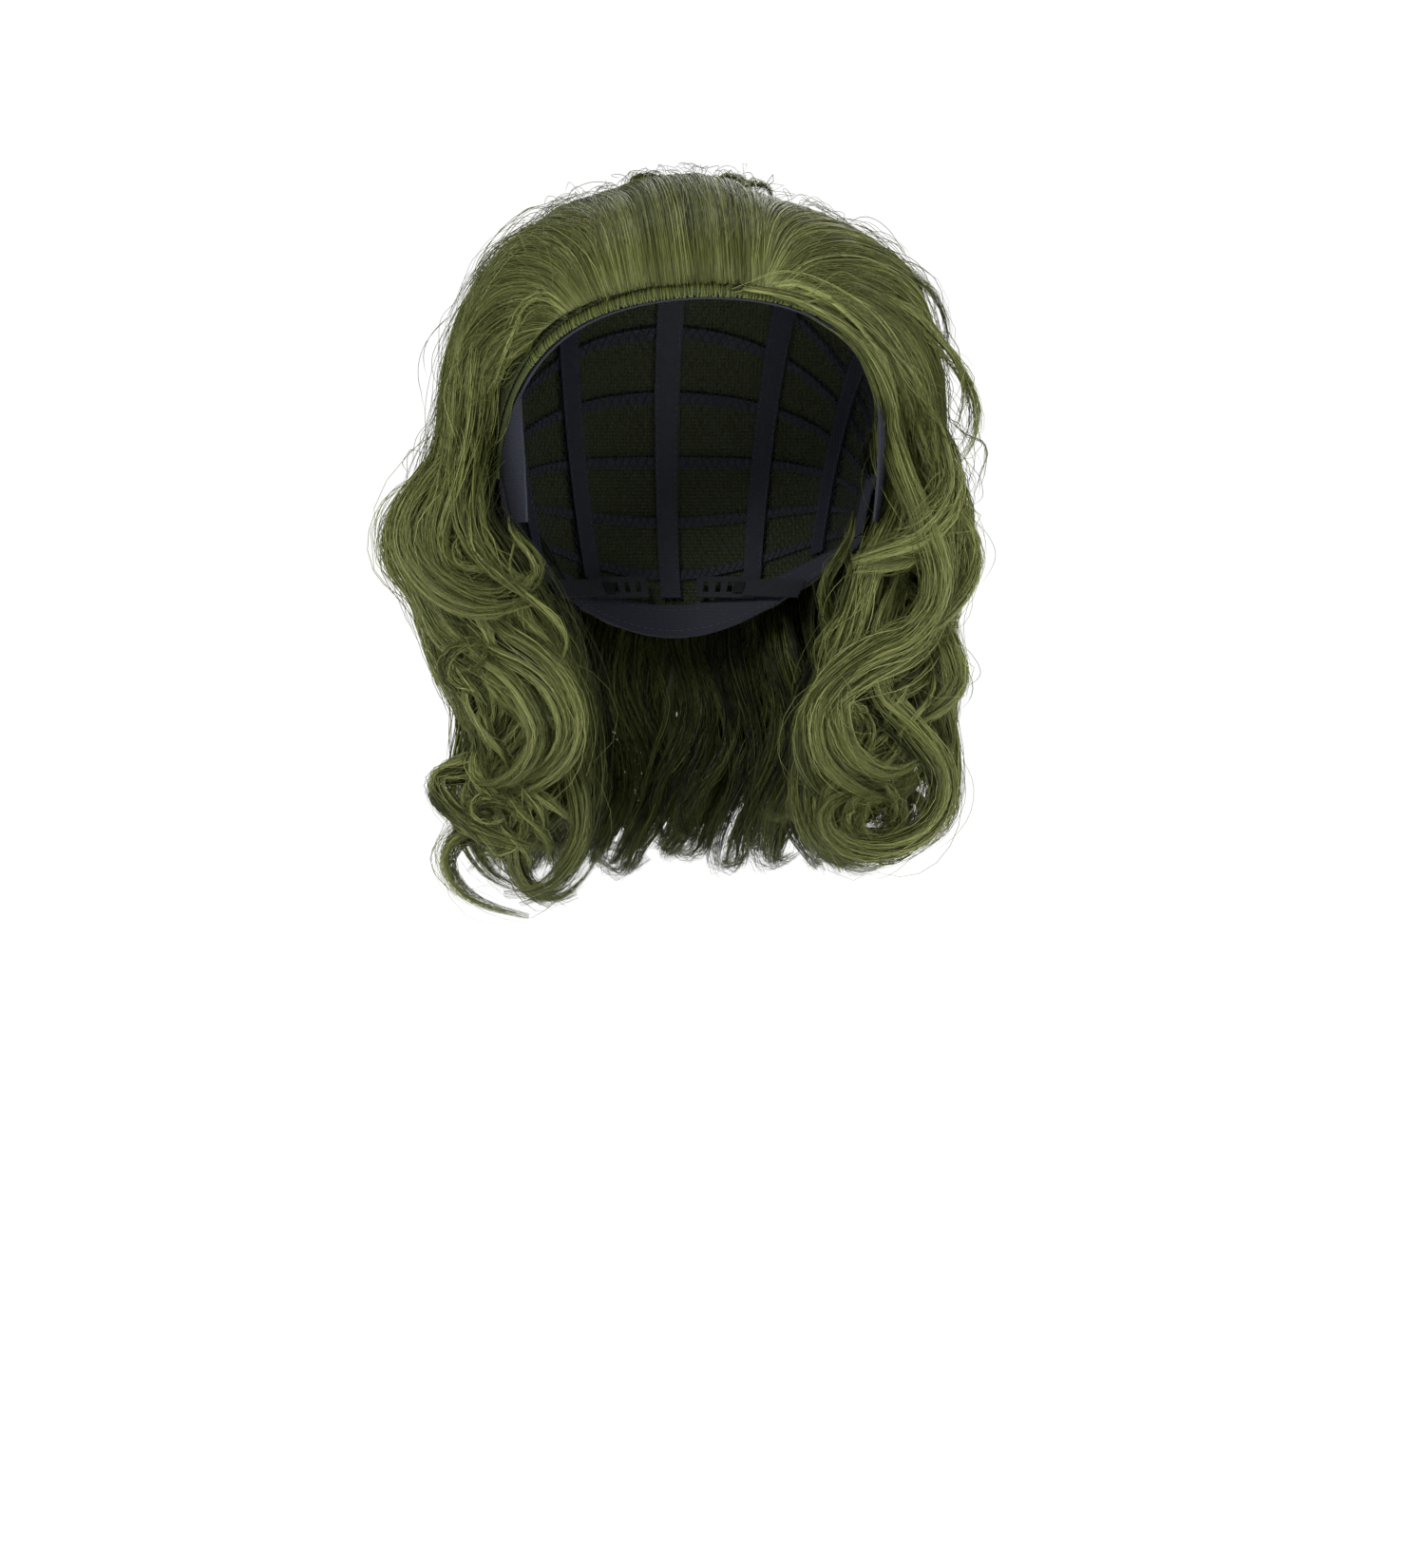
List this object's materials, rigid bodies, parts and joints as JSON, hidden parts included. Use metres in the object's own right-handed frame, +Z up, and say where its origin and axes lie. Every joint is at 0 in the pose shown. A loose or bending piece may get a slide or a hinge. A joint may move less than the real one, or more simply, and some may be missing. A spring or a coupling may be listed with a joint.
{
  "type": "costume wig",
  "caption": "Costume wig of short wavy moss-green synthetic hair swept back from a stitched hairline, on a stretch cap with hooked nape straps.",
  "frame": {"origin": "inner top of the crown, where the wearer's head touches the cap", "axes": "+Z up, -Y the way the face looks, +X the wearer's left"},
  "size_m": [0.2439, 0.2023, 0.295],
  "materials": {
    "hair": "satin synthetic fibre, moss green",
    "hairline_band": "stitched welt, dark moss green",
    "cap_net": "stretch net, blue-black",
    "cap_ribbon": "woven ribbon, blue-black",
    "weft_tape": "sewn hair strip, dark green",
    "elastic": "ribbed elastic, black",
    "hook_plastic": "moulded, black",
    "stay_cover": "twill tape, blue-black"
  },
  "bodies": {
    "cap": {"back_hair_centre": "hair", "back_hair_left": "hair", "back_hair_right": "hair", "cap_ribbon_1": "cap_ribbon", "cap_ribbon_2": "cap_ribbon", "cap_ribbon_3": "cap_ribbon", "cap_ribbon_4": "cap_ribbon", "cap_ribbon_5": "cap_ribbon", "crown_hair_centre": "hair", "crown_hair_left": "hair", "crown_hair_right": "hair", "crown_net": "cap_net", "ear_binding_left": "cap_ribbon", "ear_binding_right": "cap_ribbon", "forehead_comfort_band": "cap_ribbon", "front_hair_centre": "hair", "front_hair_left": "hair", "front_hair_right": "hair", "hairline_band": "hairline_band", "loop_tape_left": "elastic", "loop_tape_right": "elastic", "nape_band": "cap_ribbon", "weft_track_01": "weft_tape", "weft_track_02": "weft_tape", "weft_track_03": "weft_tape", "weft_track_04": "weft_tape", "weft_track_05": "weft_tape", "weft_track_06": "weft_tape", "weft_track_07": "weft_tape", "weft_track_08": "weft_tape", "weft_track_09": "weft_tape", "weft_track_10": "weft_tape", "weft_track_11": "weft_tape"},
    "ear_tab_right": {"ear_tab_right": "cap_net", "ear_tab_stay_right": "stay_cover"},
    "ear_tab_left": {"ear_tab_left": "cap_net", "ear_tab_stay_left": "stay_cover"},
    "adjuster_right": {"adjuster_hook_right": "hook_plastic", "adjuster_strap_right": "elastic"},
    "adjuster_left": {"adjuster_hook_left": "hook_plastic", "adjuster_strap_left": "elastic"},
    "right_curtain": {"right_lock_front": "hair", "right_lock_middle": "hair", "right_lock_rear": "hair"},
    "left_curtain": {"left_lock_front": "hair", "left_lock_middle": "hair", "left_lock_rear": "hair"},
    "back_curtain": {"back_lock_centre": "hair", "back_lock_inner_left": "hair", "back_lock_inner_right": "hair", "back_lock_outer_left": "hair", "back_lock_outer_right": "hair"}
  },
  "joints": [
    {"name": "ear_tab_right_bend", "type": "hinge", "parent": "cap", "child": "ear_tab_right", "pos_m": [-0.0706, -0.03315, -0.07634], "axis": [0.1602, -0.5418, 0.8251], "range_deg": [0, 18]},
    {"name": "ear_tab_left_bend", "type": "hinge", "parent": "cap", "child": "ear_tab_left", "pos_m": [0.0706, -0.03315, -0.07634], "axis": [0.1602, 0.5418, -0.8251], "range_deg": [0, 18]},
    {"name": "adjuster_right_travel", "type": "hinge", "parent": "cap", "child": "adjuster_right", "pos_m": [0, 0.018, -0.155], "axis": [0, 0, -1], "range_deg": [0, 15]},
    {"name": "adjuster_left_travel", "type": "hinge", "parent": "cap", "child": "adjuster_left", "pos_m": [0, 0.018, -0.155], "axis": [0, 0, 1], "range_deg": [0, 15]},
    {"name": "right_curtain_swing", "type": "hinge", "parent": "cap", "child": "right_curtain", "pos_m": [-0.08, 0, -0.112], "axis": [0, 1, 0], "range_deg": [0, 15]},
    {"name": "left_curtain_swing", "type": "hinge", "parent": "cap", "child": "left_curtain", "pos_m": [0.08, 0, -0.112], "axis": [0, -1, 0], "range_deg": [0, 15]},
    {"name": "back_curtain_swing", "type": "hinge", "parent": "cap", "child": "back_curtain", "pos_m": [0, 0.078, -0.175], "axis": [1, 0, 0], "range_deg": [0, 15]}
  ]
}
